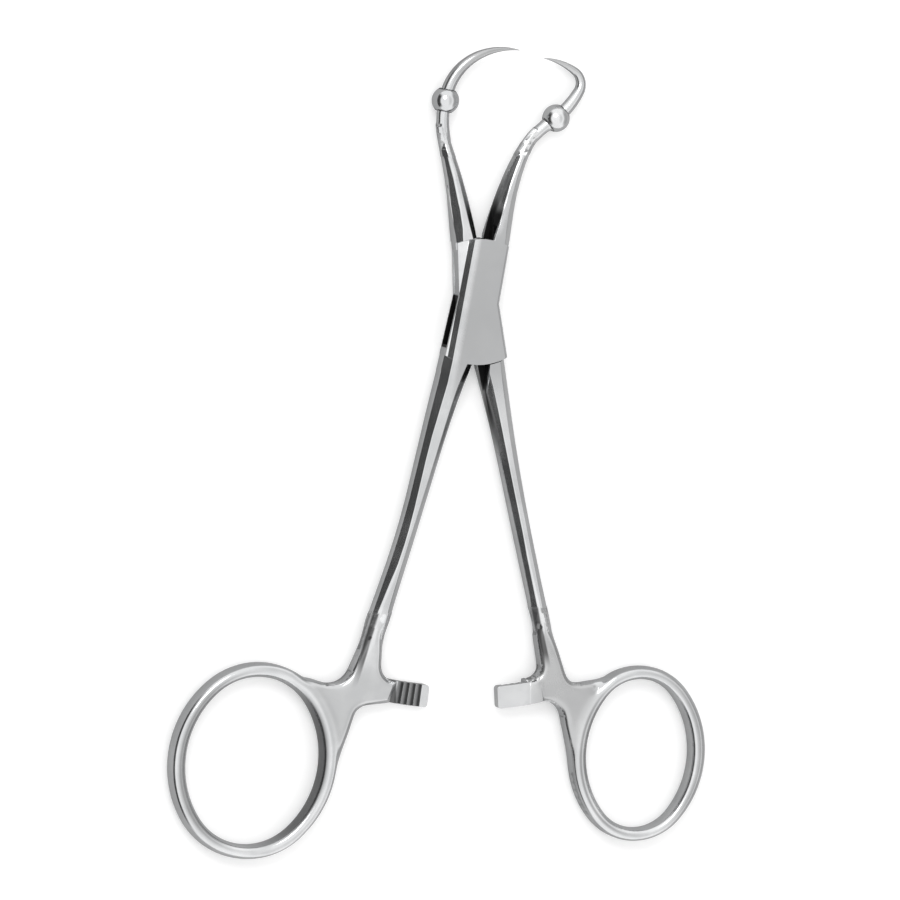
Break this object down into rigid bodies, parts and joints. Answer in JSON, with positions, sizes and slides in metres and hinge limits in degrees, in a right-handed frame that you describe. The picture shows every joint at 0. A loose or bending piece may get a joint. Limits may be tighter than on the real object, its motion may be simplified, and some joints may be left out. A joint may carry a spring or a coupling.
{
  "type": "towel clamp",
  "caption": "Ring-handled towel clamp with curved pointed jaws, ball stops on the jaws, a pinned box lock and a ratchet between the shanks.",
  "frame": {"origin": "on the axis of the lock pin, at the back face of the box lock", "axes": "+Z out of the front face along the pin, +Y along the clamp towards the jaws, +X to the side of the smaller ring"},
  "size_m": [0.0905, 0.1293, 0.0049],
  "materials": {
    "forged_steel": "polished stainless steel with a fine satin grain",
    "pin_steel": "stainless rivet ground flush and satin finished",
    "bead_steel": "bright polished stainless bead"
  },
  "bodies": {
    "box_side": {"box_half": "forged_steel", "lock_pin": "pin_steel", "stop_ball_right": "bead_steel"},
    "tongue_side": {"tongue_half": "forged_steel", "stop_ball_left": "bead_steel"}
  },
  "joints": [
    {"name": "lock_pivot", "type": "hinge", "parent": "box_side", "child": "tongue_side", "pos_m": [0, 0, 0], "axis": [0, 0, 1], "range_deg": [-13.5, 16]}
  ]
}
